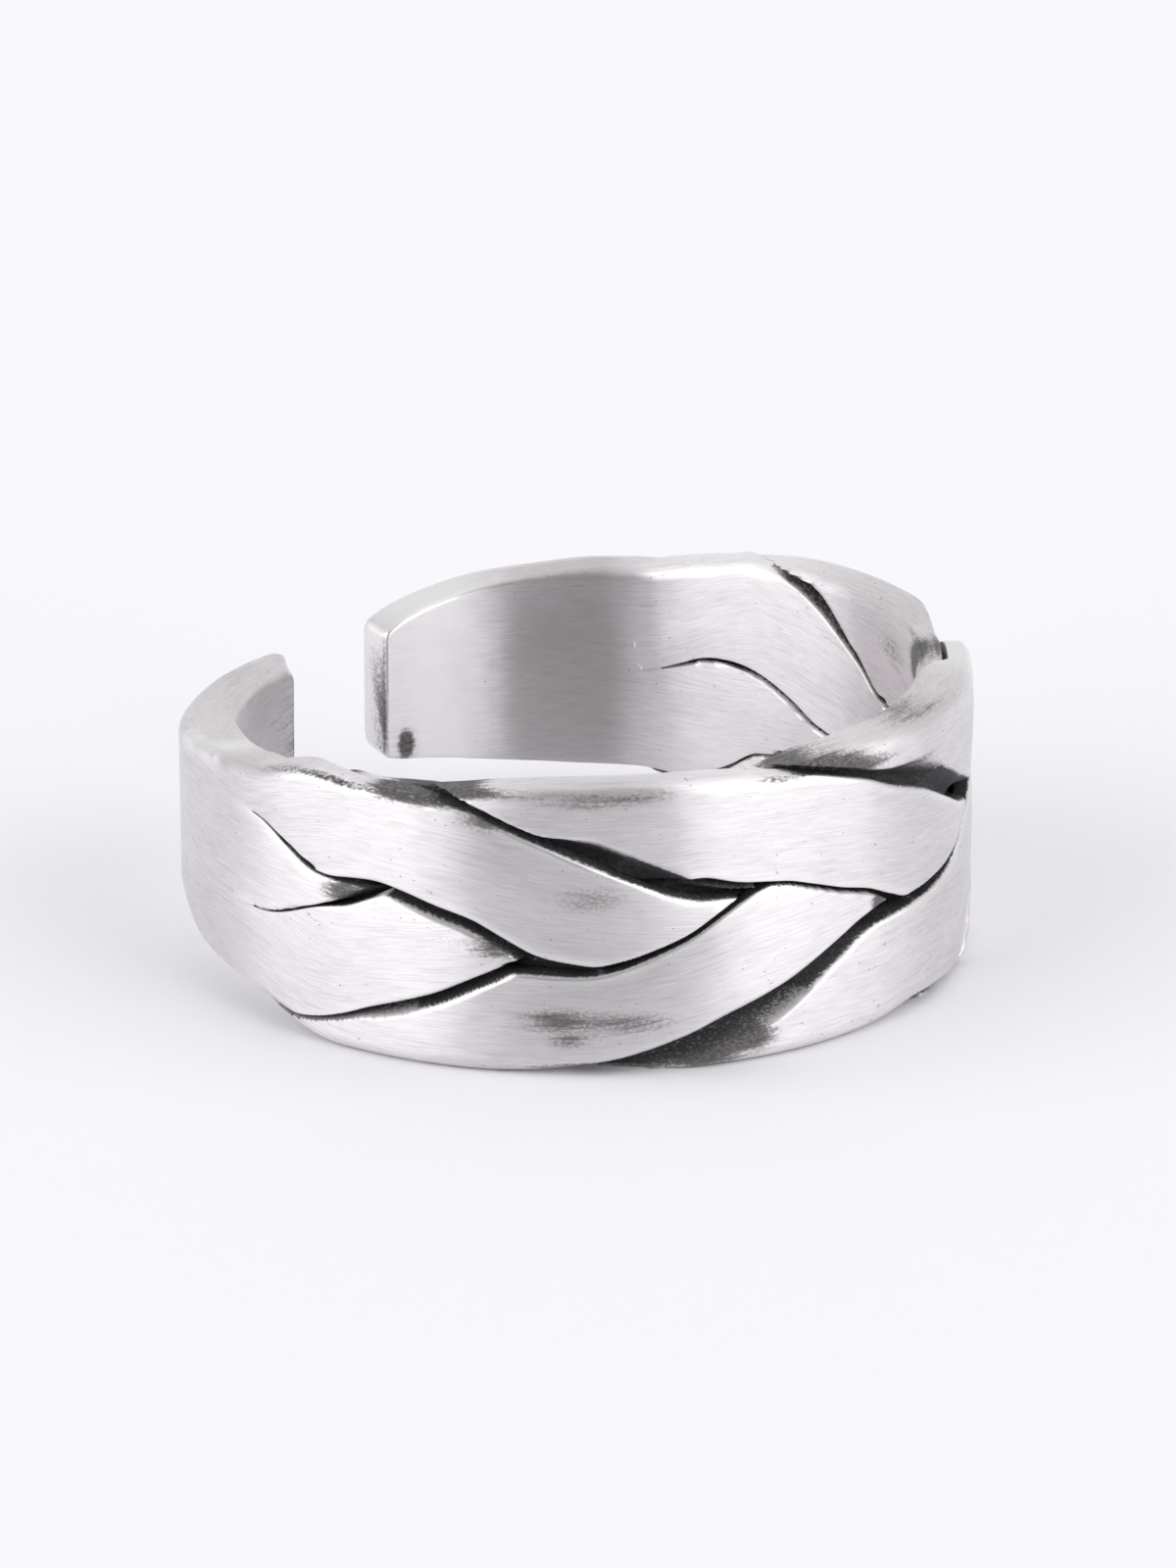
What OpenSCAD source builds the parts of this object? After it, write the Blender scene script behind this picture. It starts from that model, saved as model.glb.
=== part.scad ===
// Open band ring, plaited from five flat metal strands that run into a plain end on each side
// of the gap. Millimetres, +Z up, the ring lying on its side with its axis on Z. The front is
// towards -Y, and angles are counted from +X, growing counter-clockwise seen from above.

/* [Ring] */
// Outer diameter of the band
outer_d = 20.5; // [18:0.1:24]
// Thickness of the wall, from the finger hole to the outside
wall = 1.5; // [1.2:0.05:2]
// Width of the band where it is plaited
band_w = 7.7; // [6:0.1:10]

/* [Plait] */
// Angle at which the strands leave the left plain end
plait_start = 212; // [208:1:216]
// Angle at which the strands reach the right plain end, one turn further on
plait_end = 440; // [436:1:444]
// Clearance between strands that lie one over the other
strand_gap = 0.14; // [0.1:0.01:0.2]
// How far beside a strand its neighbour starts to dip under it
dip_margin = 0.3; // [0.2:0.05:0.4]
// Width over which the neighbour dips
dip_w = 0.5; // [0.3:0.05:0.8]
// Corner taken off the long edges of a strand
edge_cut = 0.12; // [0.05:0.01:0.2]

/* [Plain ends] */
// Angle of the cut face of the left end, at its outer corner
left_cut = 139; // [136:0.5:144]
// How much further round the inner corner of that cut lies
left_skew = 9; // [0:0.5:12]
// Angle of the cut face of the right end, one turn further on
right_cut = 484; // [480:0.5:486]
// How much further round the inner corner of that cut lies
right_skew = 1.5; // [0:0.5:3]
// Rounding of the long edges of the plain ends
end_round = 0.3; // [0.1:0.05:0.5]
// Clearance between a plain end and the strands that run into it
end_gap = 0.03; // [0.02:0.01:0.1]

/* [Hidden] */

outer_r = outer_d / 2;
inner_r = outer_r - wall;
gap_turn = end_gap / outer_r * 180 / PI;

// Edges of the left plain end: angle, low edge and high edge as shares of the band's width
LEFT_EDGES = [
  [136, 0.275, 0.725],
  [155, 0.265, 0.740],
  [168, 0.245, 0.750],
  [180, 0.215, 0.775],
  [190, 0.190, 0.805],
  [200, 0.132, 0.826],
  [212, 0.108, 0.862],
  [230, 0.070, 0.930],
];

// Edges of the right plain end, in the same columns
RIGHT_EDGES = [
  [425, 0.180, 0.920],
  [440, 0.180, 0.910],
  [448, 0.185, 0.905],
  [456, 0.200, 0.885],
  [465, 0.220, 0.865],
  [473, 0.245, 0.830],
  [480, 0.265, 0.785],
  [486, 0.280, 0.730],
];

// Degrees between the sections of a plain end, and the least rounding of its edges, where it
// meets the strands
end_step = 4;
least_round = 0.02;

// One strand's way from a petal at the bottom edge to its next petal at the top edge: turn in
// degrees since the bottom petal crossed the wall, low edge and high edge as shares of the width
RISE = [
  [0, 0.253, 0.617],
  [8, 0.340, 0.643],
  [14, 0.400, 0.650],
  [20, 0.428, 0.650],
  [26, 0.432, 0.656],
  [32, 0.433, 0.727],
  [38, 0.436, 0.800],
  [44, 0.460, 0.877],
  [50, 0.525, 0.938],
  [57, 0.590, 0.983],
  [64, 0.630, 1.000],
  [70, 0.660, 1.000],
  [86, 0.660, 1.000],
  [96, 0.650, 1.000],
  [105, 0.640, 0.998],
  [112, 0.630, 0.990],
  [120, 0.617, 0.966],
  [125, 0.590, 0.945],
  [130, 0.552, 0.914],
  [135, 0.513, 0.877],
  [140, 0.455, 0.830],
  [145, 0.405, 0.790],
  [150, 0.383, 0.747],
];
half_turn = 150;

// Where a strand comes to the outside on that way, half a rank step at a time: turn at which it
// starts, and degrees that it takes
CLIMB = [
  [79, 3],
  [108, 6],
];
rank_step = 5;

// The strands, one a row. Rank of the first petal, 1 if that petal is at the top edge, angles of
// the petals in order, low and high edge where it leaves the left end, and where it enters the right
STRANDS = [
  [-4, 0, [120, 270, 420, 570], [0.735, 0.860], [0.320, 0.635]],
  [-2, 0, [181, 331, 481], [0.475, 0.860], [0.180, 0.310]],
  [-1, 1, [210, 359.5, 509], [0.395, 0.725], [0.550, 0.910]],
  [-3, 1, [151.5, 301.5, 451], [0.110, 0.470], [0.645, 0.910]],
  [-5, 1, [100, 249.5, 390, 540], [0.110, 0.390], [0.180, 0.540]],
];
RANK = 0;
AT_TOP = 1;
PETALS = 2;
LEFT_LEG = 3;
RIGHT_LEG = 4;

// Degrees over which a strand eases from its place at a plain end into the plait
leg_turn = 22;
// Share of the dips that is left at the plain ends, and degrees over which they reach full size
dip_left = 0.6;
dip_turn = 14;
// The same for the cut along a strand's edges
cut_left = 0.1;
cut_turn = 12;

// Sections along a strand, and points across each of its faces
sections = round((plait_end - plait_start) / 3);
across = 8;

function clamp(x) = max(0, min(1, x));
function ease(x) = let(t = clamp(x)) t * t * (3 - 2 * t);
function mix(a, b, t) = a + (b - a) * t;
function sum(v) = v * [for (x = v) 1];
function column(rows, c) = [for (r = rows) [r[0], r[c]]];
function polar(r, a, z) = [r * cos(a), r * sin(a), z];

RISE_LOW = column(RISE, 1);
RISE_HIGH = column(RISE, 2);

function section_angle(i) = mix(plait_start, plait_end, i / sections);

// Index of the last petal passed at angle a
function petal(k, a) =
  let(p = STRANDS[k][PETALS]) max([for (i = [0:len(p) - 2]) p[i] <= a ? i : 0]);

// Turn since that petal, on the scale of the RISE table
function turn(k, a) =
  let(p = STRANDS[k][PETALS], i = petal(k, a)) half_turn * (a - p[i]) / (p[i + 1] - p[i]);

function from_top(k, a) = (STRANDS[k][AT_TOP] + petal(k, a)) % 2 == 1;

// Rank of strand k at angle a: where two strands cross, the one with the higher rank is outside
function rank(k, a) =
  let(t = turn(k, a), climbed = sum([for (c = CLIMB) clamp((t - c[0]) / c[1])]))
  STRANDS[k][RANK] + rank_step * (petal(k, a) + climbed / len(CLIMB));

// Low or high edge of strand k in the plait, as a share of the band's width
function wave(k, a, high) =
  let(t = turn(k, a))
  from_top(k, a) ? 1 - lookup(t, high ? RISE_LOW : RISE_HIGH) : lookup(t, high ? RISE_HIGH : RISE_LOW);

// The same as a height, eased into the strand's place at the plain ends
function edge(k, a, high) =
  let(
    left = 1 - ease((a - plait_start) / leg_turn),
    right = 1 - ease((plait_end - a) / leg_turn),
    c = high ? 1 : 0
  )
  band_w * (left * STRANDS[k][LEFT_LEG][c] + right * STRANDS[k][RIGHT_LEG][c] + (1 - left - right) * wave(k, a, high));

// Low edge, high edge and rank of each strand at each section
EDGE = [
  for (k = [0:len(STRANDS) - 1])
    [for (i = [0:sections]) let(a = section_angle(i)) [edge(k, a, false), edge(k, a, true), rank(k, a)]]
];

// How fully strand m lies at section i and height z, fading beside its edges
function cover(m, i, z, reach) =
  let(e = EDGE[m][i], off = max(e[0] - z, z - e[1], 0), fade = reach * dip_w / (dip_margin + dip_w))
  ease((reach - off) / fade);

// How far strand m lies over strand k at section i
function over(k, m, i) = clamp(0.5 + EDGE[m][i][2] - EDGE[k][i][2]);

// How many strands lie over strand k there, or under it
function crowd(k, i, z, reach, above) =
  sum([
    for (m = [0:len(STRANDS) - 1])
      let(o = over(k, m, i))
        if (m != k) cover(m, i, z, reach) * (above ? o : 1 - o)
  ]);

// Inner and outer radius of strand k there: its share of the wall
function wall_at(k, i, z, reach) =
  let(a = crowd(k, i, z, reach, true), b = crowd(k, i, z, reach, false), layers = 1 + a + b)
  [
    inner_r + wall * b / layers + strand_gap / 2 * min(1, b),
    outer_r - wall * a / layers - strand_gap / 2 * min(1, a)
  ];

// Section i of strand k as a closed loop of points
function loop_at(k, i) =
  let(
    a = section_angle(i),
    lo = EDGE[k][i][0],
    hi = EDGE[k][i][1],
    near_end = min(a - plait_start, plait_end - a),
    reach = (dip_margin + dip_w) * mix(dip_left, 1, ease(near_end / dip_turn)),
    cut = edge_cut * mix(cut_left, 1, ease(near_end / cut_turn)),
    inside = [for (j = [0:across - 2]) mix(lo + edge_cut, hi - edge_cut, j / (across - 2))],
    z = concat([lo], inside, [hi]),
    w = [for (h = z) wall_at(k, i, h, reach)],
    c = [for (h = z) h == lo || h == hi ? cut : 0]
  )
  concat(
    [for (j = [0:across]) polar(w[j][1] - c[j], a, z[j])],
    [for (j = [across:-1:0]) polar(w[j][0] + c[j], a, z[j])]
  );

// Skin over closed loops, one a section, with its two ends closed
module skin(loops) {
  n = len(loops[0]);
  s = len(loops);
  polyhedron(
    points = [for (l = loops) for (p = l) p],
    faces = concat(
      [[for (j = [0:n - 1]) j]],
      [for (i = [0:s - 2]) for (j = [0:n - 1]) [i * n + j, (i + 1) * n + j, (i + 1) * n + (j + 1) % n]],
      [for (i = [0:s - 2]) for (j = [0:n - 1]) [i * n + j, (i + 1) * n + (j + 1) % n, i * n + (j + 1) % n]],
      [[for (j = [n - 1:-1:0]) (s - 1) * n + j]]
    )
  );
}

module strand(k) {
  color("silver")
    skin([for (i = [0:sections]) loop_at(k, i)]);
}

// One section of a plain end: a rectangle with rounded corners, its inner side turned by skew
function end_loop(a, lo, hi, r, skew) =
  let(
    corners = [
      [outer_r - r, hi - r, 0],
      [inner_r + r, hi - r, 90],
      [inner_r + r, lo + r, 180],
      [outer_r - r, lo + r, 270]
    ],
    flat = [for (c = corners) for (t = [0, 45, 90]) [c[0] + r * cos(c[2] + t), c[1] + r * sin(c[2] + t)]]
  )
  [for (p = flat) polar(p[0], a + skew * (outer_r - p[0]) / wall, p[1])];

// A plain end from angle a0 to angle a1. Its cut face is at angle tip, and its rounding fades
// over the last third before the strands
module plain_end(edges, a0, a1, tip, skew) {
  steps = ceil((a1 - a0) / end_step);
  color("silver")
    skin([
      for (i = [0:steps])
        let(
          a = mix(a0, a1, i / steps),
          off = abs(a - tip) / (a1 - a0),
          r = mix(end_round, least_round, ease(3 * off - 2)),
          lo = band_w * lookup(a, column(edges, 1)),
          hi = band_w * lookup(a, column(edges, 2))
        )
        end_loop(a, lo, hi, r, skew * (1 - off) * (1 - off))
    ]);
}

module plain_end_left() {
  plain_end(LEFT_EDGES, left_cut, plait_start - gap_turn, left_cut, left_skew);
}

module plain_end_right() {
  plain_end(RIGHT_EDGES, plait_end + gap_turn, right_cut, right_cut, right_skew);
}

plain_end_left();
plain_end_right();
strand(0);  // strand_1
strand(1);  // strand_2
strand(2);  // strand_3
strand(3);  // strand_4
strand(4);  // strand_5
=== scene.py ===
import math
from collections import namedtuple

import bmesh
import bpy
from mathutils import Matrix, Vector, noise


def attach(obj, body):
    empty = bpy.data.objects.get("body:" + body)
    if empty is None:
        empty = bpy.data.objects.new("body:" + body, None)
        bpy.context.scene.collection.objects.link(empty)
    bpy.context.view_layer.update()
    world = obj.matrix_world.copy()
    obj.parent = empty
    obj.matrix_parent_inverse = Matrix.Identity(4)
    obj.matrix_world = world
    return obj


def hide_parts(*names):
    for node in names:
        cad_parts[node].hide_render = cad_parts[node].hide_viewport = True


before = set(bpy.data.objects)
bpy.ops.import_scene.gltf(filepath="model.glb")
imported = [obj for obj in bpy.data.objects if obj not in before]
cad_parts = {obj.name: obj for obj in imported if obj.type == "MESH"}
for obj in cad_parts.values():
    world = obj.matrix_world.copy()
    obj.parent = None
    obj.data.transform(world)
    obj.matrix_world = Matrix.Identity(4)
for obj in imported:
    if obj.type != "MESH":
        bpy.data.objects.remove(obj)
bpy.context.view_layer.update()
MM = 0.001

# The ring, in millimetres and degrees. It lies on its side with its axis on Z and its front
# towards -Y. Angles are counted from +X, growing counter-clockwise seen from above
OUTER_R = 10.24
WALL = 1.5
INNER_R = OUTER_R - WALL
BAND_W = 7.7
PLAIT_START, PLAIT_END = 212.0, 440.0

# Edges of the plain ends: angle, low edge and high edge as shares of the band's width
LEFT_EDGES = (
    (136, 0.275, 0.725),
    (155, 0.265, 0.740),
    (168, 0.245, 0.750),
    (180, 0.215, 0.775),
    (190, 0.190, 0.805),
    (200, 0.132, 0.826),
    (212, 0.108, 0.862),
    (230, 0.070, 0.930),
)
RIGHT_EDGES = (
    (425, 0.180, 0.940),
    (440, 0.180, 0.910),
    (448, 0.185, 0.905),
    (456, 0.200, 0.885),
    (465, 0.220, 0.865),
    (473, 0.245, 0.830),
    (480, 0.265, 0.785),
    (486, 0.280, 0.730),
)

# The plain ends: node, edges, angle of the joint with the plait, angle of the cut, degrees that
# the cut leans on its way in to the finger hole, and how far each edge draws in at the cut
End = namedtuple("End", "node edges joint cut skew taper")
ENDS = (
    End("plain_end_left", LEFT_EDGES, PLAIT_START, 139.0, 9.0, 0.24),
    End("plain_end_right", RIGHT_EDGES, PLAIT_END, 484.0, 1.5, 0.08),
)
# Over what length the edges draw in, how round the edge of the cut is, and the degrees that the
# rounding takes
TAPER_L = 0.8
CUT_EDGE = 0.14
CUT_EDGE_TURN = 0.8

# One strand's way from a petal at the bottom edge to its next petal at the top edge: turn in
# degrees since the bottom petal crossed the wall, low edge and high edge as shares of the width
RISE = (
    (0, 0.253, 0.617),
    (8, 0.340, 0.643),
    (14, 0.400, 0.650),
    (20, 0.428, 0.650),
    (26, 0.432, 0.656),
    (32, 0.433, 0.727),
    (38, 0.436, 0.800),
    (44, 0.460, 0.877),
    (50, 0.525, 0.938),
    (57, 0.590, 0.983),
    (64, 0.630, 1.000),
    (70, 0.660, 1.000),
    (86, 0.660, 1.000),
    (96, 0.650, 1.000),
    (105, 0.640, 0.998),
    (112, 0.630, 0.990),
    (120, 0.617, 0.966),
    (125, 0.590, 0.945),
    (130, 0.552, 0.914),
    (135, 0.513, 0.877),
    (140, 0.455, 0.830),
    (145, 0.405, 0.790),
    (150, 0.383, 0.747),
)
HALF_TURN = 150.0
# Where a strand climbs over others on that way, and over how many degrees. Of two strands the one
# of the higher rank lies outside, and from petal to petal a strand rises by RANK_STEP ranks
CLIMB = ((79, 3), (108, 6))
RANK_STEP = 5

# The strands: rank of the first petal, whether that petal is at the top edge, angles of the
# petals in order, low and high edge where it leaves the left end, and where it enters the right
Strand = namedtuple("Strand", "rank top_first petals start finish")
STRANDS = (
    Strand(-4, False, (120, 270, 420, 570), (0.735, 0.862), (0.320, 0.640)),
    Strand(-2, False, (181, 331, 481), (0.460, 0.862), (0.180, 0.310)),
    Strand(-1, True, (210, 359.5, 509), (0.395, 0.730), (0.545, 0.910)),
    Strand(-3, True, (151.5, 301.5, 451), (0.108, 0.490), (0.640, 0.910)),
    Strand(-5, True, (100, 249.5, 390, 540), (0.108, 0.390), (0.180, 0.545)),
)
# The turn in degrees that a strand takes from a plain end to its own way
LEG_TURN = 22.0

# Small shifts of a strand's edges, as on the hand-made ring: strand, angle, spread in degrees,
# then what the low edge and the high edge rise, in millimetres
NUDGES = (
    (1, 230, 8, -0.30, 0.0),
    (1, 234, 9, 0.0, -0.36),
    (1, 257, 6, 0.08, 0.10),
    (1, 281, 6, 0.0, 0.08),
    (1, 291, 4, 0.0, 0.08),
    (5, 228, 7, 0.0, 0.20),
    (2, 236, 7, -0.30, 0.0),
    (2, 243, 14, 0.0, -0.50),
    (3, 236, 5, 0.0, 0.18),
    (4, 277, 15, 0.0, -0.34),
    (2, 288, 4, 0.18, 0.0),
    (2, 309, 11, -0.16, 0.0),
    (3, 339, 6, 0.0, -0.20),
    (3, 345, 9, -0.85, 0.0),
    (5, 347, 6, -0.42, 0.0),
    (5, 368, 8, 0.0, 0.30),
    (5, 416, 9, -0.35, 0.0),
    (5, 428, 9, 0.0, 0.38),
    (2, 412, 5, 0.0, -0.20),
    (3, 424, 6, 0.0, -0.14),
)

# How wide the groove beside a strand's edge is: strand, edge (0 low, 1 high), then rows of
# angle and share of the usual groove. Outside its rows an edge keeps the nearest row's share
GROOVES = (
    (1, 0, ((212, 0.03), (222, 0.05), (230, 0.14), (236, 0.55), (243, 0.95), (266, 1.0),
            (276, 0.8))),
    (1, 1, ((234, 1.0), (242, 1.1), (250, 1.0), (257, 0.7), (264, 0.75), (269, 1.4), (274, 2.0),
            (283, 2.0), (288, 1.3), (292, 0.8))),
    (2, 0, ((289, 0.6), (297, 0.35), (318, 0.40), (325, 0.8), (333, 0.55), (345, 0.35))),
    (2, 1, ((212, 1.0), (221, 2.6), (231, 2.6), (239, 1.0), (300, 0.6), (317, 0.9), (326, 1.9),
            (336, 2.4), (346, 2.2), (356, 1.0), (395, 0.25), (430, 0.2))),
    (3, 0, ((415, 0.5), (440, 0.3))),
    (3, 1, ((212, 0.22), (222, 0.34), (230, 0.6), (238, 1.0), (318, 1.0), (345, 0.8), (385, 0.5),
            (395, 0.9), (403, 1.5), (410, 0.7), (416, 0.25), (425, 0.2))),
    (4, 0, ((290, 2.4), (297, 2.4), (304, 1.9), (311, 1.5), (318, 1.3), (330, 0.8))),
    (4, 1, ((256, 0.9), (264, 1.0), (275, 0.7), (286, 0.5), (294, 0.5))),
    (5, 0, ((228, 0.2), (236, 0.45), (243, 1.0), (300, 1.0), (395, 0.25), (430, 0.2))),
    (5, 1, ((212, 0.12), (230, 0.22), (238, 0.9), (262, 1.0), (354, 1.0), (366, 2.6), (386, 2.4),
            (402, 0.4), (440, 0.25))),
)

# Where an outer face is pressed in along its high edge: strand, angle, spread in degrees, and
# how deep. The dent is PRESSED_W wide
PRESSED = ((4, 368, 16, 0.78),)
PRESSED_W = 1.6

# Where the inner edge of the rim is rounded more: strand, angle, spread in degrees, and how much
ROUNDED = ((2, 275, 32, 0.85),)

# Stains, rough places and marks left by the blackening, and rows of painted shade and painted
# highlight marked below:
# node, angle, height, spread in degrees and in millimetres, and how dark they are. One below 0
# takes soot away and polishes
STAINS_AND_PAINTED_LIGHT = (
    ("strand_1", 243.5, 7.22, 4, 0.22, 1.1),
    ("strand_1", 249, 7.12, 6, 0.22, 1.2),
    ("strand_1", 258, 6.66, 4, 0.22, 0.9),
    ("strand_1", 272, 4.70, 5, 0.35, 0.55),
    ("strand_1", 258, 5.90, 9, 0.50, 0.16),
    ("strand_1", 281, 5.30, 5, 0.40, 0.12),
    ("strand_5", 291, 4.82, 5, 0.34, 1.8),
    ("strand_5", 259, 3.35, 3.5, 0.30, 0.8),
    ("strand_4", 318.5, 3.40, 1.7, 0.30, 1.3),
    ("strand_2", 245, 7.30, 6, 0.40, 1.0),
    ("strand_2", 255, 7.36, 7, 0.13, 1.4),
    ("strand_2", 259, 7.15, 3, 0.16, -0.9),
    ("strand_2", 271, 7.28, 7, 0.24, 0.6),
    ("strand_2", 280, 7.38, 5, 0.16, 0.5),
    ("strand_2", 326, 6.60, 8, 0.50, 0.18),
    ("strand_2", 275, 6.30, 7, 0.50, 0.14),
    ("strand_4", 267, 1.52, 5, 0.32, 0.8),
    ("strand_4", 277, 1.42, 7, 0.28, 0.7),
    ("strand_4", 269, 0.95, 3, 0.18, 0.7),
    ("strand_4", 258, 2.60, 6, 0.50, 0.16),
    ("strand_4", 279, 3.20, 5, 0.40, 0.25),
    ("strand_3", 287, 0.55, 8, 0.50, 1.5),
    ("strand_3", 296, 0.75, 3, 0.30, 0.8),
    ("strand_3", 236, 4.25, 4, 0.35, 1.1),
    ("strand_3", 322, 2.40, 8, 0.70, 0.18),
    ("strand_5", 251, 3.40, 6, 0.50, 0.18),
    ("strand_5", 246, 4.40, 3, 0.30, 0.25),
    ("strand_5", 307, 7.46, 7, 0.20, 1.7),
    ("strand_5", 313, 7.16, 8, 0.20, 1.0),
    ("strand_5", 331, 7.74, 8, 0.14, 0.55),
    ("strand_5", 324, 6.60, 8, 0.22, 0.9),
    ("strand_5", 333, 5.90, 5, 0.22, 0.6),
    ("strand_5", 362, 7.40, 10, 0.50, -1.0),
    ("strand_4", 379, 6.75, 7, 0.50, 0.46),
    # A dark patch where strand 4's rim sinks beside strand 5
    ("strand_4", 363.5, 7.25, 4.5, 0.50, 1.7),
    ("strand_4", 418, 7.60, 6, 0.20, -0.5),
    ("strand_3", 418, 7.60, 6, 0.20, -0.5),
    ("strand_5", 420, 1.90, 12, 0.60, -0.6),
    ("strand_2", 420, 1.80, 12, 0.60, -0.6),
    ("strand_4", 400, 6.60, 9, 0.60, 0.12),
    ("strand_3", 399, 6.00, 9, 0.80, 0.20),
    # Painted shade on the cut face of the right end, along its inner edge
    ("plain_end_right", 485.6, 3.3, 0.5, 1.40, 1.6),
    ("plain_end_right", 485.6, 5.2, 0.4, 0.90, 0.9),
    ("plain_end_right", 481.2, 2.5, 2.1, 0.55, 2.1),
    # Painted highlight: the right end's silver made brighter over its whole width
    ("plain_end_right", 474, 4.00, 10, 5.00, -1.3),
    # Painted highlight on the burr of the left end's rim
    ("plain_end_left", 203, 6.35, 5, 0.22, -1.0),
    ("plain_end_left", 144, 4.20, 1.6, 0.70, 0.7),
    ("plain_end_left", 147, 3.40, 2.5, 0.90, 0.5),
    ("plain_end_left", 152, 4.00, 8, 2.00, 0.26),
)
# Up to this angle they lie on a strand's inner face near its edges only: to this far from an
# edge, and fading over this width
STAINED_INSIDE = 345
STAIN_EDGE_W, STAIN_FADE = 0.2, 0.3

# Painted shade: where the silver inside the ring is evenly darkened in colour, with the same
# columns
INNER_PAINTED_SHADE = tuple(("strand_%d" % n, 446, 4.00, 6, 4.00, 0.9) for n in (2, 3, 4, 5)) + (
    ("plain_end_right", 446, 4.00, 6, 4.00, 0.9),
    ("plain_end_right", 454, 4.00, 5, 4.00, 0.6),
    ("plain_end_right", 461, 4.00, 5, 4.00, 0.9),
    ("plain_end_left", 152, 4.00, 9, 3.00, 0.3),
)

# How a strand dips under its neighbour: margin, width and clearance
DIP_MARGIN = 0.03
DIP_W = 0.32
STRAND_GAP = 0.05
# How far past a strand's edge another has to reach to close in that side fully
CLOSED_IN = 0.30

# How round the corners are: of a strand beside a groove, and the share of that on its inner face,
# of the ring's rim, and of the inside of the plain ends
CORNER = 0.10
INNER_SHARE = 0.35
RIM_CORNER = 0.34
END_CORNER = 0.12
# The most that a corner takes of the wall, of the wall at the rim's inner edge, and of a strand's
# width
MOST_OF_WALL, MOST_AT_RIM, MOST_OF_WIDTH = 0.46, 0.74, 0.3
# How far a strand's edge may lie from the ring's edge, and its face from the ring's face, before
# its corner has nothing of the rim's
RIM_FADE, SUNK_FADE = 0.4, 0.3

# How far a strand's outer face falls off towards its edges
DOME = 0.05
# How far the brushing follows the strands, from 0, round the ring, to 1, along each strand
FOLLOW = 0.4

# Degrees from a plain end over which the strands, their dips and their brushing come into being,
# and over which the inside corners of the plain end get sharp
GROW_TURN, DIP_TURN, BRUSH_TURN, SHARP_TURN = 12, 14, 25, 20
# Where a strand and a plain end meet, both skins draw in by the first over TUCK_TURN degrees. The
# tongue of the end, which runs on inside the strands, draws in by the second over TONGUE_TURN
TUCK, TUCK_TURN = 0.003, 3
TONGUE_TUCK, TONGUE_TURN = 0.04, 4
# How deep under the outer face the stains and the painted shade of a plain end show in full
INSIDE_FADE = 0.5

# The soot: how far it reaches from a neighbouring strand, the depth where it starts, the depths
# that it takes to get black on the outer and the inner face, and how much of the rim stays bright
SOOT_REACH = 0.46
SOOT_START = 0.02
SOOT_DEPTH, INNER_SOOT_DEPTH = 0.15, 0.20
BRIGHT_RIM_W = 0.12
# The polished edge beside a groove: its width, and how deep down it goes
POLISHED_W = 0.35
POLISHED_DEPTH = 0.25

# Unevenness of the hand-finished metal, broad and fine: waves a millimetre, and their height. It
# is read from noise on a ring of this radius, and the fine one from another part of the noise
BROAD_SWELL, FINE_SWELL = (0.45, 0.016), (1.4, 0.008)
SWELL_R, FINE_SHIFT = 10, Vector((7, 3, 1))

# The small burr on the outer edge of the left end's rim: where it starts and finishes and the
# degrees that this takes, how far below the high edge its middle is, its width, how deep in from
# the outer face it goes, and how far it stands out and up. Its noise is read on a ring of BURR_R
BURR_START, BURR_RISE = 189, 3
BURR_FINISH, BURR_FALL = 209, 4
BURR_BELOW, BURR_W, BURR_DEEP = 0.08, 0.20, 0.4
BURR_OUT, BURR_UP = 0.12, 0.14
BURR_R = 16

# Points round a section: along each face, at each corner and on each side. Then the degrees from
# one section to the next, which a plain end doubles, and the angle from which an edge is a crease
FACE_POINTS = 44
CORNER_POINTS = 5
SIDE_POINTS = 4
STEP = 0.4
CREASE = 50


def clamp(x):
    return max(0.0, min(1.0, x))


def ease(x):
    t = clamp(x)
    return t * t * (3 - 2 * t)


def mix(a, b, t):
    return a + (b - a) * t


def bell(x, spread):
    """1 at x = 0, and smoothly less to both sides."""
    return math.exp(-((x / spread) ** 2))


def curve(rows, x, column):
    """The table's column at x, on a smooth curve through its rows."""
    last = len(rows) - 1
    i = max([k for k in range(last) if rows[k][0] <= x] or [0])

    def rise(a, b):
        return (rows[b][column] - rows[a][column]) / (rows[b][0] - rows[a][0])

    def slope(k):
        if last < 2:
            return 0.0
        if k <= 0 or k >= last:
            return rise(max(k - 1, 0), min(k + 1, last))
        before, after = rise(k - 1, k), rise(k, k + 1)
        return 0.0 if before * after <= 0 else 2 * before * after / (before + after)

    x0, x1 = rows[i][0], rows[i + 1][0]
    y0, y1 = rows[i][column], rows[i + 1][column]
    m0, m1 = slope(i) * (x1 - x0), slope(i + 1) * (x1 - x0)
    t = clamp((x - x0) / (x1 - x0))
    a, b, c = t * t * t, t * t, t
    return y0 * (2 * a - 3 * b + 1) + m0 * (a - 2 * b + c) + y1 * (3 * b - 2 * a) + m1 * (a - b)


def on_ring(r, angle, z):
    a = math.radians(angle)
    return Vector((r * math.cos(a), r * math.sin(a), z))


# The table runs on past both ends, where the strand comes from and goes to its other petals
RISE_ROUND = (
    tuple((t - HALF_TURN, 1 - high, 1 - low) for t, low, high in RISE[-4:-1])
    + RISE
    + tuple((t + HALF_TURN, 1 - high, 1 - low) for t, low, high in RISE[1:4])
)


def turn_of(k, angle):
    """The last petal that strand k has passed at that angle, and the turn since."""
    petals = STRANDS[k].petals
    i = max([n for n in range(len(petals) - 1) if petals[n] <= angle] or [0])
    return i, HALF_TURN * (angle - petals[i]) / (petals[i + 1] - petals[i])


def rank(k, angle):
    i, t = turn_of(k, angle)
    climbed = sum(clamp((t - start) / run) for start, run in CLIMB)
    return STRANDS[k].rank + RANK_STEP * (i + climbed / len(CLIMB))


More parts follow.
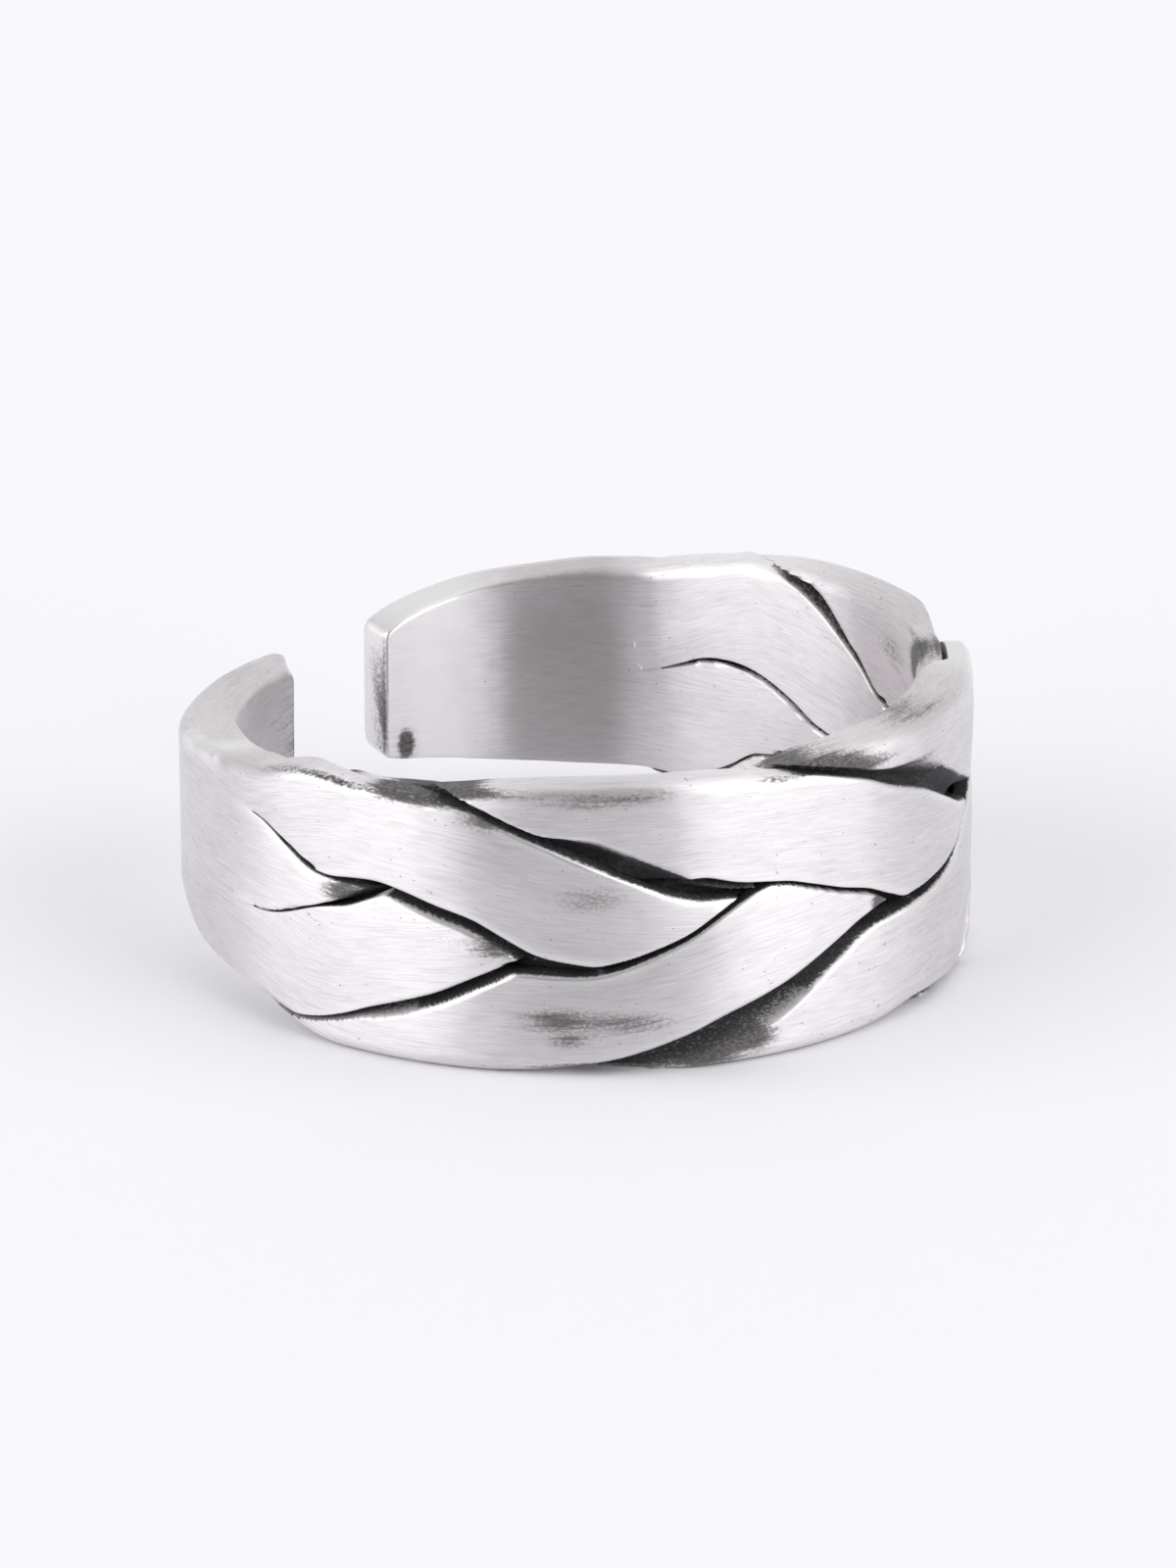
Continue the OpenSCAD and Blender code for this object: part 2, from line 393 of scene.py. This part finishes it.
def edges_of(k, angle):
    """Low and high edge of strand k at that angle, in millimetres."""
    i, t = turn_of(k, angle)
    low, high = curve(RISE_ROUND, t, 1), curve(RISE_ROUND, t, 2)
    if STRANDS[k].top_first == (i % 2 == 0):
        low, high = 1 - high, 1 - low
    left = 1 - ease((angle - PLAIT_START) / LEG_TURN)
    right = 1 - ease((PLAIT_END - angle) / LEG_TURN)
    start, finish = STRANDS[k].start, STRANDS[k].finish
    low = left * start[0] + right * finish[0] + (1 - left - right) * low
    high = left * start[1] + right * finish[1] + (1 - left - right) * high
    low, high = low * BAND_W, high * BAND_W
    for strand, at, spread, low_up, high_up in NUDGES:
        if strand == k + 1:
            share = bell(angle - at, spread)
            low, high = low + low_up * share, high + high_up * share
    return max(low, 0.0), min(high, BAND_W)


def groove(k, side, angle):
    """Share of the usual groove beside an edge of strand k."""
    for strand, edge, rows in GROOVES:
        if (strand, edge) == (k + 1, side):
            return curve(rows, angle, 1)
    return 1.0


def dents(rows, k, angle):
    """What a table of dents adds up to on strand k at that angle."""
    return sum(deep * bell(angle - at, wide) for strand, at, wide, deep in rows if strand == k + 1)


def marks(rows, node, angle, z):
    """What a table of marks, such as the stains or the painted shade, adds up to on a node at that
    place.
    """
    amount = 0.0
    for where, at, height, wide, tall, dark in rows:
        if where == node:
            amount += dark * math.exp(-(((angle - at) / wide) ** 2) - ((z - height) / tall) ** 2)
    return amount


def swell(angle, z):
    """Unevenness of the hand-finished metal: how far the surface stands out there."""
    p = on_ring(SWELL_R, angle, z)
    (waves, height), (fine_waves, fine_height) = BROAD_SWELL, FINE_SWELL
    fine = noise.noise(p * fine_waves + FINE_SHIFT)
    return height * noise.noise(p * waves) + fine_height * fine


def burr(angle, below):
    """The burr at an angle, that far below its middle: from 0 to 1."""
    ragged = 0.75 + 0.5 * noise.noise(on_ring(BURR_R, angle, 2))
    along = ease((angle - BURR_START) / BURR_RISE) * ease((BURR_FINISH - angle) / BURR_FALL)
    return clamp(ragged) * along * bell(below, BURR_W)


class Section:
    """Where the strands lie at one angle."""

    def __init__(self, angle):
        strands, ahead = range(len(STRANDS)), 0.5
        self.angle = angle
        self.near_end = min(angle - PLAIT_START, PLAIT_END - angle)
        self.edges = [edges_of(k, angle) for k in strands]
        self.ranks = [rank(k, angle) for k in strands]
        later = [edges_of(k, angle + ahead) for k in strands]
        step = math.radians(ahead) * OUTER_R
        self.slopes = [[(b - a) / step for a, b in zip(self.edges[k], later[k])] for k in strands]
        self.grow = ease(self.near_end / GROW_TURN)
        self.reach = (DIP_MARGIN + DIP_W) * mix(0.3, 1, ease(self.near_end / DIP_TURN))
        self.grooves = [[groove(k, side, angle) for side in (0, 1)] for k in strands]
        self.pressed = [dents(PRESSED, k, angle) for k in strands]
        self.rounded = [dents(ROUNDED, k, angle) for k in strands]
        self.lowest = min(low for low, _ in self.edges)
        self.highest = max(high for _, high in self.edges)

    def nearer(self, m, z):
        """The edge of strand m that height z is nearer to: 0 low, 1 high."""
        low, high = self.edges[m]
        return 0 if low - z > z - high else 1

    def off(self, m, z):
        """How far height z lies outside strand m, square to its edge."""
        side = self.nearer(m, z)
        out = z - self.edges[m][1] if side else self.edges[m][0] - z
        return out / math.hypot(1, self.slopes[m][side]) / self.grooves[m][side]

    def cover(self, m, z):
        """Whether strand m takes room at height z: 1 up to its margin, 0 past its dip's width."""
        fade = self.reach * DIP_W / (DIP_MARGIN + DIP_W)
        return ease((self.reach - max(0, self.off(m, z))) / fade)

    def crowd(self, k, z):
        """How many strands lie over strand k at height z, and how many under it."""
        above = below = 0.0
        for m in range(len(STRANDS)):
            if m != k:
                c = self.cover(m, z)
                over = clamp(0.5 + self.ranks[m] - self.ranks[k])
                above += c * over
                below += c * (1 - over)
        return above, below

    def wall(self, k, z):
        """Inner and outer radius of strand k at height z."""
        above, below = self.crowd(k, z)
        layers = 1 + above + below
        gap = STRAND_GAP / 2 * self.grow
        inner = INNER_R + WALL * below / layers + gap * min(1, below)
        outer = OUTER_R - WALL * above / layers - gap * min(1, above)
        pressed = self.pressed[k] * ease(1 - (self.edges[k][1] - z) / PRESSED_W)
        return inner, min(outer, OUTER_R - pressed)

    def near(self, k, z, inward):
        """How much soot the strands next to height z hold there, from 0, far from them, to 1. On
        the inner face a wide groove holds the most, and on the outer one a fine one does too."""
        clear = 1.0
        for m in range(len(STRANDS)):
            if m != k:
                share = self.grooves[m][self.nearer(m, z)]
                if inward:
                    held = clamp(0.34 + 0.42 * share)
                else:
                    held = mix(1, 0.68, clamp(2 * share)) + 0.32 * clamp(share - 1)
                clear *= 1 - held * ease(1 - max(0, self.off(m, z)) / SOOT_REACH)
        return 1 - clear

    def closed(self, k, side):
        """How far another strand closes in strand k's low or high side, from 0 to 1."""
        edge = self.edges[k][side]
        way = 1 if side else -1
        return max(
            ease(way * (self.edges[m][side] - edge) / CLOSED_IN) * self.cover(m, edge)
            for m in range(len(STRANDS))
            if m != k
        )


def tube(name, sections):
    """A closed skin over sections, each a row of points. A point is its place, its lie on the
    strand, the way of the grain, and how black it is there, how polished by wear and by painted
    highlight (below 0: how darkened by painted shade), and how stained and darkened by painted
    shade."""
    around, along = len(sections[0]), len(sections)
    bm = bmesh.new()
    bmesh.ops.create_cone(
        bm, cap_ends=True, cap_tris=False, segments=around, radius1=1, radius2=1, depth=1
    )
    lengthwise = [e for e in bm.edges if abs(e.verts[0].co.z - e.verts[1].co.z) > 0.5]
    bmesh.ops.subdivide_edges(bm, edges=lengthwise, cuts=along - 2)
    lay = bm.verts.layers.float_vector.new("lay")
    grain = bm.verts.layers.float_vector.new("grain")
    soot = bm.verts.layers.float.new("soot")
    wear_and_painted_light = bm.verts.layers.float.new("wear_and_painted_light")
    stain_and_painted_shade = bm.verts.layers.float.new("stain_and_painted_shade")
    for v in bm.verts:
        j = round(math.atan2(v.co.y, v.co.x) / math.tau * around) % around
        i = round((v.co.z + 0.5) * (along - 1))
        place, v[lay], v[grain], v[soot], v[wear_and_painted_light], v[stain_and_painted_shade] = sections[i][j]
        v.co = place * MM
    bmesh.ops.recalc_face_normals(bm, faces=bm.faces)
    for f in bm.faces:
        f.smooth = True
    for e in bm.edges:
        if len(e.link_faces) == 2 and e.calc_face_angle(0) > math.radians(CREASE):
            e.smooth = False
    return piece_of(name, bm)


def piece_of(name, bm):
    """An object at the origin from a finished bmesh."""
    mesh = bpy.data.meshes.new(name)
    bm.to_mesh(mesh)
    bm.free()
    piece = bpy.data.objects.new(name, mesh)
    bpy.context.collection.objects.link(piece)
    return piece


def outline(low, high, corners):
    """Stations round a section, whose corners are outer low, outer high, inner low, inner high.
    Each is its height, which face it is on (1 outer, 0 inner), how far the corner takes it in,
    and on a side the share of the way to the other face (None on a face)."""
    arc = []
    for n in range(CORNER_POINTS):
        t = math.radians(90 - 90 * n / CORNER_POINTS)
        arc.append((math.sin(t), 1 - math.cos(t)))
    stations = []
    for face, bottom, top in ((1, corners[0], corners[1]), (0, corners[2], corners[3])):
        run = [(low + bottom * (1 - s), bottom * c) for s, c in arc]
        flat = range(FACE_POINTS)
        run += [(mix(low + bottom, high - top, n / (FACE_POINTS - 1)), 0.0) for n in flat]
        run += [(high - top * (1 - s), top * c) for s, c in reversed(arc)]
        row = [(z, face, inset, None) for z, inset in run]
        stations += row if face == 1 else row[::-1]
        sides = [(n + 1) / (SIDE_POINTS + 1) for n in range(SIDE_POINTS)]
        stations += [(high if face == 1 else low, face, 0.0, t) for t in sides]
    return stations


def strand_corners(k, s):
    """How round strand k's corners are: outer low, outer high, inner low, inner high."""
    low, high = s.edges[k]
    rims = ease(1 - (low - s.lowest) / RIM_FADE), ease(1 - (s.highest - high) / RIM_FADE)
    walls = s.wall(k, low), s.wall(k, high)
    usual = CORNER * mix(0.1, 1, s.grow)
    corners = []
    for outward in (True, False):
        for side in (0, 1):
            inner, outer = walls[side]
            # Beside a fine groove the corner is nearly sharp
            beside = usual * (0.05 + 1.1 * min(s.grooves[k][side], 1.5))
            beside *= 1 if outward else INNER_SHARE
            sunk = abs(outer - OUTER_R) if outward else abs(inner - INNER_R)
            inner_rim = side == 1 and not outward
            at_rim = RIM_CORNER + (s.rounded[k] if inner_rim else 0)
            size = mix(beside, at_rim, rims[side] * ease(1 - sunk / SUNK_FADE))
            most = (MOST_AT_RIM if inner_rim else MOST_OF_WALL) * (outer - inner)
            corners.append(min(size, most, MOST_OF_WIDTH * (high - low)))
    return corners


def strand_finish(k, s, z, r, closed):
    """How black, how polished (below 0: how darkened by painted shade) and how stained strand k is
    at that place. closed says how far other strands close in its low and its high side."""
    name = "strand_%d" % (k + 1)
    low, high = s.edges[k]
    edge, deep = min(z - low, high - z), min(OUTER_R - r, r - INNER_R)
    side = s.nearer(k, z)
    inward = r < (INNER_R + OUTER_R) / 2
    # A side that no strand closes in is the ring's rim, and stays bright
    near = s.near(k, z, inward) * mix(closed[side], 1, ease(edge / BRIGHT_RIM_W))
    depth = INNER_SOOT_DEPTH if inward else SOOT_DEPTH
    soot = near * ease((deep - SOOT_START) / depth) * s.grow
    mark = marks(STAINS_AND_PAINTED_LIGHT, name, s.angle, z)
    if inward and s.angle < STAINED_INSIDE:
        mark *= 1 - ease((edge - STAIN_EDGE_W) / STAIN_FADE)
    wear_and_painted_light = clamp(-mark)
    # Inside, painted shade darkens the silver where the table says
    if inward:
        wear_and_painted_light -= marks(INNER_PAINTED_SHADE, name, s.angle, z)
    else:
        rubbed = clamp(1 - edge / POLISHED_W) * near * (1 - ease(deep / POLISHED_DEPTH))
        wear_and_painted_light = max(wear_and_painted_light, rubbed * clamp(2 * s.grooves[k][side]))
    return soot * clamp(1 + mark), wear_and_painted_light, max(mark, 0.0)


def strand_section(k, s):
    """A section of strand k, as a row of points for its skin."""
    low, high = s.edges[k]
    rise = FOLLOW * sum(s.slopes[k]) / 2 * s.grow
    a = math.radians(s.angle)
    grain = Vector((-math.sin(a), math.cos(a), rise)).normalized()
    corners = strand_corners(k, s)
    middle, half = (low + high) / 2, (high - low) / 2
    centre = mix(BAND_W / 2, middle, FOLLOW * ease(s.near_end / BRUSH_TURN))
    tuck = TUCK * ease(0.5 - s.near_end / TUCK_TURN)
    dome = DOME * s.grow
    closed = s.closed(k, 0), s.closed(k, 1)
    row = []
    for z, face, inset, between in outline(low, high, corners):
        inner, outer = s.wall(k, z)
        bulge = dome * ((z - middle) / half) ** 2
        if between is None:
            r = outer - inset - bulge - tuck if face == 1 else inner + inset + 0.5 * bulge + tuck
        else:
            top = outer - corners[face] - bulge - tuck
            bottom = inner + corners[2 + face] + 0.5 * bulge + tuck
            r = mix(top, bottom, between) if face == 1 else mix(bottom, top, between)
        finish = strand_finish(k, s, z, r, closed)
        r += swell(s.angle, z)
        lay = Vector((s.angle * math.radians(1) * OUTER_R, z - centre, r - OUTER_R))
        row.append((on_ring(r, s.angle, z), lay, grain, *finish))
    return row


def make_strand(k, sections):
    return tube("strand_%d_silver" % (k + 1), [strand_section(k, s) for s in sections])


def end_section(end, angle, way):
    """A section of a plain end. way is 1 where angles grow from the cut to the plait."""
    low, high = BAND_W * curve(end.edges, angle, 1), BAND_W * curve(end.edges, angle, 2)
    past = way * (angle - end.joint)
    share = clamp(1 - way * (angle - end.cut) / abs(end.joint - end.cut))
    to_cut = way * math.radians(angle - end.cut) * OUTER_R
    to_round = max(0, CUT_EDGE - to_cut)
    rounding = CUT_EDGE - math.sqrt(max(0, CUT_EDGE**2 - to_round**2))
    tongue = TUCK * ease(past / TUCK_TURN + 0.5) + TONGUE_TUCK * ease((past - 1) / TONGUE_TURN)
    taper = end.taper * clamp(1 - to_cut / TAPER_L) ** 2
    low, high = low + taper + rounding + 2 * tongue, high - taper - rounding - 2 * tongue
    a = math.radians(angle)
    grain = Vector((-math.sin(a), math.cos(a), 0))
    top, bottom = OUTER_R - rounding - tongue, INNER_R + rounding + tongue
    sharp = mix(RIM_CORNER, END_CORNER, ease(-past / SHARP_TURN))
    row = []
    for z, face, inset, between in outline(low, high, (RIM_CORNER, RIM_CORNER, sharp, sharp)):
        if between is None:
            r = top - inset if face == 1 else bottom + inset
        else:
            r = mix(top - RIM_CORNER, bottom + sharp, between if face == 1 else 1 - between)
        lean = end.skew * share * share * (OUTER_R - r) / WALL
        raised = 0.0
        if end.node == "plain_end_left" and r > OUTER_R - BURR_DEEP:
            raised = burr(angle, high - BURR_BELOW - z)
        r += swell(angle, z) + BURR_OUT * raised
        z += BURR_UP * raised
        lay = Vector((angle * math.radians(1) * OUTER_R, z - BAND_W / 2, r - OUTER_R))
        inside = ease((OUTER_R - r) / INSIDE_FADE)
        mark = marks(STAINS_AND_PAINTED_LIGHT, end.node, angle + lean, z)
        mark *= inside if mark > 0 else 1
        # The burr is polished bright: metal rubbed clean, and a painted highlight
        wear_and_painted_light = max(clamp(-mark), raised)
        # Painted shade darkens the inside of the end
        if face == 0 or between is not None:
            wear_and_painted_light -= marks(INNER_PAINTED_SHADE, end.node, angle, z) * inside
        row.append((on_ring(r, angle + lean, z), lay, grain, 0.0, wear_and_painted_light, max(mark, 0.0)))
    return row


def make_end(end):
    """A plain end, from its rounded cut to the tongue that runs on inside the strands."""
    way = 1 if end.joint > end.cut else -1
    rounds = [CUT_EDGE * (1 - math.cos(math.radians(t))) / OUTER_R for t in range(0, 90, 15)]
    turns = [end.cut + way * math.degrees(t) for t in rounds]
    steps = int(abs(end.joint - end.cut) / (2 * STEP))
    turns += [mix(end.cut + way * CUT_EDGE_TURN, end.joint, n / steps) for n in range(steps + 1)]
    turns += [end.joint + way * t for t in (0.5, 1, 1.5, 2, 3, 4, 5)]
    return tube(end.node + "_silver", [end_section(end, a, way) for a in turns])


# Colours: the silver and its clouds, its fine lines and pits, polished metal that also serves as
# painted highlight, the darker silver of painted shade, then the stains and painted shade and the
# black of the grooves, each from its darkest to its palest, and the floor
SILVER, DIM_SILVER, CLOUD = (0.835, 0.805, 0.82), (0.775, 0.745, 0.76), (0.56, 0.52, 0.525)
BRIGHT_LINE, DARK_LINE, PIT = (0.95, 0.925, 0.94), (0.50, 0.47, 0.475), (0.20, 0.19, 0.19)
POLISH_AND_PAINTED_HIGHLIGHT, PAINTED_SHADE_SILVER = (0.97, 0.96, 0.955), (0.42, 0.39, 0.385)
STAIN_AND_SHADE, PALE_STAIN_AND_SHADE = (0.022, 0.02, 0.02), (0.14, 0.128, 0.128)
CHARCOAL, PALE_CHARCOAL = (0.03, 0.03, 0.033), (0.075, 0.072, 0.075)
CRUST, PALE_CRUST = (0.05, 0.05, 0.053), (0.30, 0.29, 0.30)
PAPER = (0.87, 0.87, 0.89)


def wire(tree, source, target):
    tree.links.new(source, target)


def math_node(tree, operation, a, b=None, limit=False):
    node = tree.nodes.new("ShaderNodeMath")
    node.operation = operation
    node.use_clamp = limit
    for n, value in enumerate((a, b)):
        if value is None:
            continue
        if isinstance(value, (int, float)):
            node.inputs[n].default_value = value
        else:
            wire(tree, value, node.inputs[n])
    return node.outputs[0]


def multiply_add(tree, value, factor, addend):
    """value times factor, plus addend."""
    node = tree.nodes.new("ShaderNodeMath")
    node.operation = "MULTIPLY_ADD"
    wire(tree, value, node.inputs[0])
    node.inputs[1].default_value = factor
    node.inputs[2].default_value = addend
    return node.outputs[0]


def stretched_noise(tree, lay, scale, detail, offset=(0, 0, 0)):
    """Noise on the strand's own lie. scale is how many grains a millimetre has along, across and
    into the strand."""
    mapping = tree.nodes.new("ShaderNodeMapping")
    mapping.inputs["Location"].default_value = offset
    mapping.inputs["Scale"].default_value = scale
    wire(tree, lay, mapping.inputs["Vector"])
    texture = tree.nodes.new("ShaderNodeTexNoise")
    texture.inputs["Scale"].default_value = 1
    texture.inputs["Detail"].default_value = detail
    texture.inputs["Roughness"].default_value = 0.6
    wire(tree, mapping.outputs[0], texture.inputs["Vector"])
    return texture.outputs["Fac"]


def band_of(tree, value, low, high, to_low=0.0, to_high=1.0):
    """value, smoothly brought from low and high to to_low and to_high."""
    node = tree.nodes.new("ShaderNodeMapRange")
    node.interpolation_type = "SMOOTHSTEP"
    node.inputs["From Min"].default_value = low
    node.inputs["From Max"].default_value = high
    node.inputs["To Min"].default_value = to_low
    node.inputs["To Max"].default_value = to_high
    wire(tree, value, node.inputs["Value"])
    return node.outputs[0]


def mix_colour(tree, share, a, b):
    """From colour a, at share 0, to colour b. Inputs 6 and 7 and output 2 are the colour ones."""
    node = tree.nodes.new("ShaderNodeMix")
    node.data_type = "RGBA"
    for n, value in ((6, a), (7, b)):
        if isinstance(value, tuple):
            node.inputs[n].default_value = (*value, 1)
        else:
            wire(tree, value, node.inputs[n])
    wire(tree, share, node.inputs[0])
    return node.outputs[2]


def attribute(tree, name, output):
    node = tree.nodes.new("ShaderNodeAttribute")
    node.attribute_name = name
    return node.outputs[output]


def clean_silver(tree, noises, wear_and_painted_light):
    """The colour of the satin metal, cloudy, finely brushed and pitted, polished where it is worn
    and where a highlight is painted, and darker where shade is painted.
    """
    fine, coarse, patches, pits = (noises[n] for n in ("fine", "coarse", "patches", "pits"))
    colour = mix_colour(tree, band_of(tree, patches, 0.35, 0.7), SILVER, DIM_SILVER)
    colour = mix_colour(tree, band_of(tree, coarse, 0.48, 0.80, 0, 0.5), colour, CLOUD)
    colour = mix_colour(tree, band_of(tree, fine, 0.38, 0.70, 0, 0.5), colour, BRIGHT_LINE)
    colour = mix_colour(tree, band_of(tree, fine, 0.58, 0.35, 0, 0.2), colour, DARK_LINE)
    colour = mix_colour(tree, band_of(tree, pits, 0.70, 0.73, 0, 0.6), colour, PIT)
    # Above 0: polish from wear, and painted highlight on the left end's burr and over the right
    # end
    colour = mix_colour(tree, math_node(tree, "MULTIPLY", wear_and_painted_light, 0.8), colour, POLISH_AND_PAINTED_HIGHLIGHT)
    # Below 0: painted shade, a darker silver inside the ring
    return mix_colour(tree, band_of(tree, wear_and_painted_light, -0.1, -0.9, 0, 0.5), colour, PAINTED_SHADE_SILVER)


def groove_black(tree, soot, ragged):
    """How black the metal is in and beside the grooves, with a ragged edge."""
    spread = math_node(tree, "MULTIPLY", soot, 2.5, True)
    blackness = math_node(tree, "ADD", soot, math_node(tree, "MULTIPLY", ragged, spread))
    return band_of(tree, blackness, 0.12, 0.70)


def stain_and_shade_black(tree, noises, mark, ragged):
    """How dark the stains and the painted shade are, in fine streaks and specks."""
    streaks = math_node(tree, "ADD", multiply_add(tree, noises["coarse"], 0.9, -0.45), ragged)
    streaks = math_node(tree, "ADD", streaks, multiply_add(tree, noises["fine"], 0.8, -0.4))
    held = math_node(tree, "MULTIPLY", mark, 3.0, True)
    stain_and_shade = math_node(tree, "ADD", mark, math_node(tree, "MULTIPLY", streaks, held))
    return band_of(tree, stain_and_shade, 0.12, 0.85, 0, 0.92)


def groove_colour(tree, grit, mark):
    """The colour of the soot: charcoal, and a paler crust where the metal is rough too."""
    charcoal = mix_colour(tree, band_of(tree, grit, 0.40, 0.65), CHARCOAL, PALE_CHARCOAL)
    crust = mix_colour(tree, band_of(tree, grit, 0.50, 0.72), CRUST, PALE_CRUST)
    return mix_colour(tree, band_of(tree, mark, 0.1, 0.8), charcoal, crust)


def surface_height(tree, noises, soot, mark):
    """The relief of the brushing, the pits and the grit."""
    fine = math_node(tree, "MULTIPLY", noises["fine"], 0.5)
    coarse = math_node(tree, "MULTIPLY", noises["coarse"], 0.4)
    height = math_node(tree, "ADD", fine, coarse)
    height = math_node(tree, "SUBTRACT", height, band_of(tree, noises["pits"], 0.69, 0.73, 0, 0.6))
    gritty = math_node(tree, "MULTIPLY", math_node(tree, "ADD", soot, mark), 2.5)
    return math_node(tree, "ADD", height, math_node(tree, "MULTIPLY", noises["grit"], gritty))


def blackened_silver():
    """Satin brushed silver, blackened where the soot attribute says."""
    material = bpy.data.materials.new("blackened_silver")
    material.use_nodes = True
    tree = material.node_tree
    shader = tree.nodes["Principled BSDF"]
    lay = attribute(tree, "lay", "Vector")
    soot, wear_and_painted_light, mark = (attribute(tree, name, "Fac") for name in ("soot", "wear_and_painted_light", "stain_and_painted_shade"))
    noises = {
        "fine": stretched_noise(tree, lay, (1.3, 34, 34), 5),
        "coarse": stretched_noise(tree, lay, (0.5, 8, 8), 5, (3, 1, 0)),
        "patches": stretched_noise(tree, lay, (0.35, 0.9, 0.9), 4, (9, 4, 2)),
        "grit": stretched_noise(tree, lay, (9, 15, 15), 5, (1, 6, 3)),
        "pits": stretched_noise(tree, lay, (5, 8, 8), 2, (5, 5, 8)),
    }
    grit = noises["grit"]
    ragged = multiply_add(tree, grit, 1.3, -0.65)
    black = groove_black(tree, soot, ragged)
    stain_and_shade = stain_and_shade_black(tree, noises, mark, ragged)

    stain_and_shade_colour = mix_colour(tree, band_of(tree, grit, 0.38, 0.66), STAIN_AND_SHADE, PALE_STAIN_AND_SHADE)
    colour = mix_colour(tree, stain_and_shade, clean_silver(tree, noises, wear_and_painted_light), stain_and_shade_colour)
    colour = mix_colour(tree, black, colour, groove_colour(tree, grit, mark))
    wire(tree, colour, shader.inputs["Base Color"])

    # Black metal is duller, and its brushing shows less
    dull = math_node(tree, "MAXIMUM", black, stain_and_shade)
    rough = multiply_add(tree, noises["patches"], 0.10, 0.38)
    rough = math_node(tree, "SUBTRACT", rough, math_node(tree, "MULTIPLY", wear_and_painted_light, 0.12))
    rough = math_node(tree, "ADD", rough, math_node(tree, "MULTIPLY", dull, 0.22), True)
    wire(tree, rough, shader.inputs["Roughness"])
    wire(tree, band_of(tree, dull, 0, 1, 1, 0.35), shader.inputs["Metallic"])
    wire(tree, band_of(tree, dull, 0.1, 0.8, 0.88, 0.3), shader.inputs["Anisotropic"])
    shader.inputs["Anisotropic Rotation"].default_value = 0.25
    wire(tree, attribute(tree, "grain", "Vector"), shader.inputs["Tangent"])

    bump = tree.nodes.new("ShaderNodeBump")
    bump.inputs["Strength"].default_value = 0.35
    bump.inputs["Distance"].default_value = 0.00002
    wire(tree, surface_height(tree, noises, soot, mark), bump.inputs["Height"])
    wire(tree, bump.outputs[0], shader.inputs["Normal"])
    return material


def ring():
    """The strands and the plain ends, each in place of its CAD node."""
    silver = blackened_silver()
    count = round((PLAIT_END - PLAIT_START) / STEP)
    plait = [Section(mix(PLAIT_START - 1, PLAIT_END + 1, n / count)) for n in range(count + 1)]
    pieces = {"strand_%d" % (k + 1): make_strand(k, plait) for k in range(len(STRANDS))}
    for end in ENDS:
        pieces[end.node] = make_end(end)
    for node, piece in pieces.items():
        piece.data.materials.append(silver)
        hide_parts(node)
        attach(piece, "root")


def floor():
    """A plain pale floor."""
    bm = bmesh.new()
    bmesh.ops.create_grid(bm, x_segments=1, y_segments=1, size=1.5)
    piece = piece_of("floor", bm)
    material = bpy.data.materials.new("pale_paper")
    material.use_nodes = True
    shader = material.node_tree.nodes["Principled BSDF"]
    shader.inputs["Base Color"].default_value = (*PAPER, 1)
    shader.inputs["Roughness"].default_value = 0.9
    shader.inputs["Specular IOR Level"].default_value = 0.1
    piece.data.materials.append(material)


# The tent's brightness round the ring: share of the way from the camera to the back, and level.
# Then its colour overhead and its strength
TENT = ((0.0, 0.04), (0.15, 0.07), (0.215, 2.75), (0.52, 2.3), (0.62, 0.75), (1.0, 0.92))
OVERHEAD = (1.12, 1.12, 1.14)
TENT_STRENGTH = 0.87


def studio():
    """A white tent round the ring, bright at both sides and dark towards the camera."""
    world = bpy.data.worlds.new("tent")
    bpy.context.scene.world = world
    world.use_nodes = True
    tree = world.node_tree
    background = tree.nodes["Background"]
    way = tree.nodes.new("ShaderNodeTexCoord")
    parts = tree.nodes.new("ShaderNodeSeparateXYZ")
    wire(tree, way.outputs["Generated"], parts.inputs[0])
    ahead = math_node(tree, "MULTIPLY", parts.outputs["Y"], -1)
    round_it = math_node(tree, "ARCTAN2", parts.outputs["X"], ahead)
    share = math_node(tree, "DIVIDE", math_node(tree, "ABSOLUTE", round_it), math.pi)
    ramp = tree.nodes.new("ShaderNodeValToRGB")
    ramp.color_ramp.interpolation = "EASE"
    stops = ramp.color_ramp.elements
    stops[0].position, stops[1].position = TENT[0][0], TENT[-1][0]
    for place, _ in TENT[1:-1]:
        stops.new(place)
    for stop, (_, level) in zip(stops, TENT):
        stop.color = (level, level, level * 1.01, 1)
    wire(tree, share, ramp.inputs[0])
    high = band_of(tree, parts.outputs["Z"], 0.55, 0.95)
    colour = mix_colour(tree, high, ramp.outputs[0], OVERHEAD)
    wire(tree, colour, background.inputs["Color"])
    background.inputs["Strength"].default_value = TENT_STRENGTH


# The camera that fits the photograph: its aim and distance in millimetres, degrees above the
# ring, then focal length, height of the picture and shifts of its middle in pixels
AIM, DISTANCE, ELEVATION = Vector((0, 0, 3.9)), 220.0, 19.98
FOCAL_LENGTH, PHOTO_H = 8675, 1600
SHIFT_X, SHIFT_Y = 12, 6.1
SENSOR_W = 36


def camera():
    """The photograph's view, from the front of the ring and a little above it."""
    elevation = math.radians(ELEVATION)
    back = Vector((0, -math.cos(elevation), math.sin(elevation)))
    data = bpy.data.cameras.new("camera")
    data.sensor_width = SENSOR_W
    data.lens = SENSOR_W * FOCAL_LENGTH / PHOTO_H
    data.shift_x, data.shift_y = SHIFT_X / PHOTO_H, SHIFT_Y / PHOTO_H
    data.clip_start, data.clip_end = 0.01, 10
    eye = bpy.data.objects.new("camera", data)
    eye.location = (AIM + back * DISTANCE) * MM
    eye.rotation_mode = "QUATERNION"
    eye.rotation_quaternion = (-back).to_track_quat("-Z", "Y")
    bpy.context.collection.objects.link(eye)
    bpy.context.scene.camera = eye


ring()
floor()
studio()
camera()
bpy.context.scene.view_settings.view_transform = "Standard"

bpy.context.view_layer.update()
